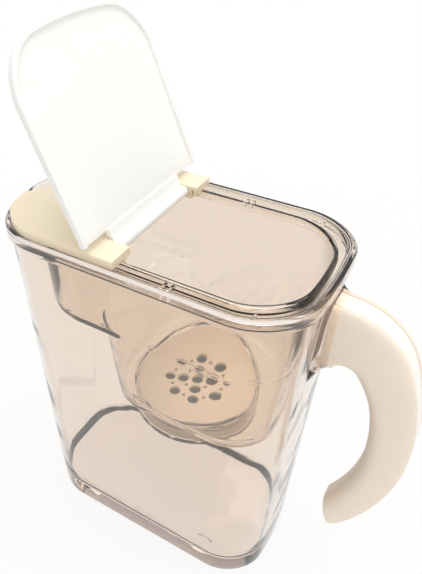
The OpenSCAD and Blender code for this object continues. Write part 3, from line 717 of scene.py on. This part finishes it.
# Flip lid: a thin white polypropylene flap with a low border round its underside, on a barrel
# with two pins. It is drawn closed and then turned open on its hinge, as it stands at rest.
open_angle, lid_length, lid_corner = 114, 0.103, 0.026
lid_half_y, lid_sheet, lid_border_height, lid_border = band_y + 0.0005, 0.0022, 0.0021, 0.0026
lid_z = jug_height + 0.0003
lid_top, shoulder_x = lid_z + lid_border_height + lid_sheet, hinge_x + shoulder_reach
lid_end, barrel_radius, pin_length = shoulder_x + lid_length, 0.0034, 0.0035


def lid_outline(inset, z):
    return outline(inset - lid_end, lid_end - inset, lid_half_y - inset, lid_corner - inset, z,
                   end_bow + 0.001)


low_edge, high_edge = 0.0006, 0.0012
lid = loft("lid", [lid_outline(inset, z) for inset, z in
                   rounding(low_edge, lid_z + low_edge, low_edge, -90, 0, 3)
                   + rounding(high_edge, lid_top - high_edge, high_edge, 0, 90, 5)])
carved(lid, [loft("underside", [
    lid_outline(lid_border, lid_z - 0.002), lid_outline(lid_border, lid_z + 0.0015)]
    + [lid_outline(lid_border + 0.0006 * s, lid_z + 0.0015 + 0.0006 * s) for s in (0.5, 1)]),
    box("spout_half", (-0.3, -0.1, 0.2), (shoulder_x, 0.1, 0.3))])
soften(lid, 0.0005, 2)
hinge_line, pin_reach = (hinge_x, 0, hinge_z), tongue_half + pin_length
mark_radius, mark_low, mark_high = 0.0035, lid_z + 0.00195, lid_z + lid_border_height + 0.0003
combine(lid, [
    box("hinge_leaf", (hinge_x, -tongue_half, hinge_z + 0.0002),
        (shoulder_x + 0.0004, tongue_half, lid_top - 0.0001)),
    rod("barrel", hinge_line, barrel_radius, -tongue_half, tongue_half, axis="y", sides=48),
    rod("pins", hinge_line, pin_radius, -pin_reach, pin_reach, axis="y", sides=48)]
    + [rod("ejector_mark", (x, y, 0), mark_radius, mark_low, mark_high, sides=40)
       for x in (shoulder_x + 0.012, lid_end - 0.022) for y in (-0.04, 0.04)])
pivot = Matrix.Translation((hinge_x, 0, hinge_z))
lid.data.transform(pivot @ Matrix.Rotation(math.radians(-open_angle), 4, "Y") @ pivot.inverted())
shade(lid)
# Polypropylene with a satin grain: a cool white, almost even, with soft highlights.
lid_white = spark_plastic("polypropylene_white_satin", "#FEFEFC", "#FAFAF7", 0.0014, 0.36, 0.08)
dress(lid, lid_white)
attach(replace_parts(lid, "flip_lid"), "lid")

# Studio: a pale floor that runs to the horizon and keeps the soft shadow, broad soft lamps above, at
# the handle side and on the near side, and the camera above the near side. Its optical axis passes
# through a pixel left of the picture's middle, as in a picture cropped from a wider one.
floor_half, floor_z = 6, -0.0002
floor_corners = ((-1, -1), (1, -1), (1, 1), (-1, 1))
floor = new_piece("floor", [(x * floor_half, y * floor_half, floor_z) for x, y in floor_corners], [(0, 1, 2, 3)])
# Painted board: a matt emulsion on hardboard, almost white, with a faint mottle from the roller.
pale, tree, place = material("painted_board_pale")
speckle = add(tree, "TexNoise", {"Vector": place}, Scale=1 / 0.02, Detail=2.0)
tone = add(tree, "Mix", data_type="RGBA")
tree.links.new(speckle.outputs["Fac"], tone.inputs["Factor"])
tone.inputs["A"].default_value, tone.inputs["B"].default_value = tint("#FBF9F6"), tint("#F8F6F2")
board = add(tree, "BsdfDiffuse", {"Color": tone.outputs["Result"]})
glow = add(tree, "Emission", Color=(1, 1, 1, 1), Strength=1.0)


def seen_rays(tree):
    """One for the rays that reach the eye straight, by a reflection or through clear plastic."""
    ray = add(tree, "LightPath")
    seen = ray.outputs["Is Camera Ray"]
    for kind in ("Is Glossy Ray", "Is Transmission Ray"):
        seen = add(tree, "Math", {0: seen, 1: ray.outputs[kind]}, operation="MAXIMUM").outputs["Value"]
    return seen


away = add(tree, "VectorMath", {0: place}, operation="LENGTH")
fade = add(tree, "MapRange", {"Value": away.outputs["Value"]}, From_Min=0.15, From_Max=0.6, To_Min=0.85,
           To_Max=1.0)
share = add(tree, "Math", {0: seen_rays(tree), 1: fade.outputs["Result"]}, operation="MULTIPLY")
mixed = add(tree, "MixShader", {"Fac": share.outputs["Value"], 1: board.outputs["BSDF"],
                                2: glow.outputs["Emission"]})
close(tree, mixed.outputs["Shader"])
dress(floor, pale)


def lamp(name, place, aim, size, power, colour):
    """A square soft lamp that faces a point."""
    light = bpy.data.lights.new(name, "AREA")
    light.shape, light.size, light.size_y = "RECTANGLE", *size
    light.energy, light.color = power, tint(colour)[:3]
    holder = bpy.data.objects.new(name, light)
    holder.location = place
    holder.rotation_euler = (Vector(aim) - Vector(place)).to_track_quat("-Z", "Y").to_euler()
    bpy.context.scene.collection.objects.link(holder)


lamp("overhead", (0.05, 0.1, 1.5), (0, 0, 0.1), (1.3, 1.2), 11.5, "#FFFFFF")
lamp("handle_side", (1.3, 0.35, 0.9), (0.05, 0, 0.15), (0.7, 0.8), 4, "#FFFDF8")
lamp("near_soft", (0.7, -1.5, 0.75), (0.05, 0, 0.15), (1.5, 1), 4, "#FFFAF2")
lamp("near_window", (-0.25, -1.6, 0.7), (0, 0, 0.1), (0.06, 1.1), 0.7, "#FFFFFF")

world = bpy.data.worlds.new("studio")
world.use_nodes = True
bpy.context.scene.world = world
tree = world.node_tree
tree.nodes.clear()
ambient = add(tree, "Background", Color=(1, 1, 1, 1), Strength=0.5)
white = add(tree, "Background", Color=(1, 1, 1, 1), Strength=1.0)
sky = add(tree, "MixShader", {"Fac": seen_rays(tree), 1: ambient.outputs["Background"],
                              2: white.outputs["Background"]})
add(tree, "OutputWorld", {"Surface": sky.outputs["Shader"]})

azimuth, elevation, roll = math.radians(32.9), math.radians(38.12), math.radians(-1.21)
back = Vector((math.sin(azimuth) * math.cos(elevation), -math.cos(azimuth) * math.cos(elevation),
               math.sin(elevation)))
level = Vector((math.cos(azimuth), math.sin(azimuth), 0))
upright = back.cross(level)
right = level * math.cos(roll) + upright * math.sin(roll)
up = upright * math.cos(roll) - level * math.sin(roll)
lens = bpy.data.cameras.new("camera")
picture_width, picture_height, film, focal_pixels = 422, 574, 36, 598.4
axis_px, axis_py = 148.59, 290.07
lens.sensor_width, lens.lens = film, focal_pixels / picture_height * film
lens.shift_x = (picture_width / 2 - axis_px) / picture_height
lens.shift_y = (axis_py - picture_height / 2) / picture_height
lens.clip_start, lens.clip_end = 0.01, 30
camera = bpy.data.objects.new("camera", lens)
bpy.context.scene.collection.objects.link(camera)
camera_place = (0.14030, -0.24389, 0.41571)
camera.matrix_world = Matrix([(right[k], up[k], back[k], camera_place[k]) for k in range(3)] + [(0, 0, 0, 1)])
scene = bpy.context.scene
scene.camera = camera
scene.view_settings.view_transform = "Standard"
scene.cycles.max_bounces, scene.cycles.transmission_bounces = 24, 24
scene.cycles.transparent_max_bounces = 32
